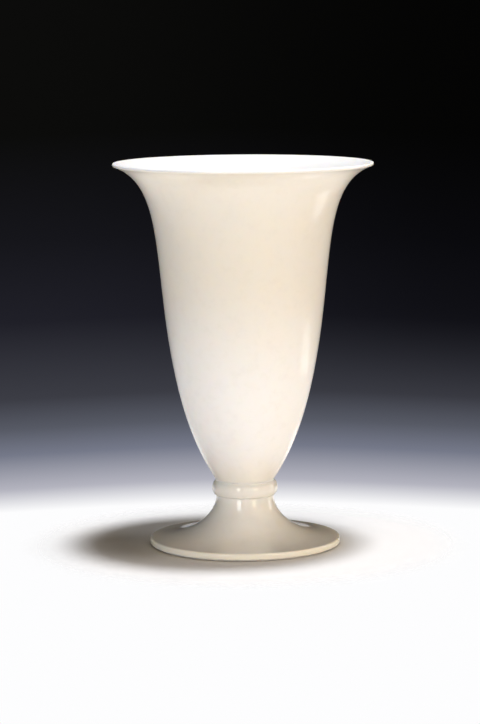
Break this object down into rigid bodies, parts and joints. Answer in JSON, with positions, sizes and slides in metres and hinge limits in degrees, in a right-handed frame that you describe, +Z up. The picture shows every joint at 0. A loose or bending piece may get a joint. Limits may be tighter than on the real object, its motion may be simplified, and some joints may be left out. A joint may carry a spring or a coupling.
{
  "type": "vase",
  "caption": "Tall trumpet-shaped flower vase in glazed off-white porcelain, with a flared lip, a bead collar at the neck and a wide hollow pedestal foot, held together by a hidden tie rod.",
  "frame": {"origin": "centre of the flat ring that the foot stands on, at table level", "axes": "+Z up along the vase's axis, towards the mouth; the vase is round, so +X and +Y are any two horizontal directions, and the picture looks along +Y"},
  "size_m": [0.169, 0.169, 0.25],
  "materials": {
    "porcelain": "warm off-white porcelain under a clear gloss glaze",
    "brass": "plain turned brass, lightly tarnished",
    "rubber": "matt black rubber"
  },
  "bodies": {
    "root": {"foot": "porcelain", "collar": "porcelain", "bowl": "porcelain", "lower_gasket": "rubber", "upper_gasket": "rubber", "tie_rod": "brass", "bowl_seal": "rubber", "bowl_washer": "brass", "cap_nut": "brass", "foot_cushion": "rubber", "foot_washer": "brass", "foot_nut": "brass"}
  },
  "joints": []
}
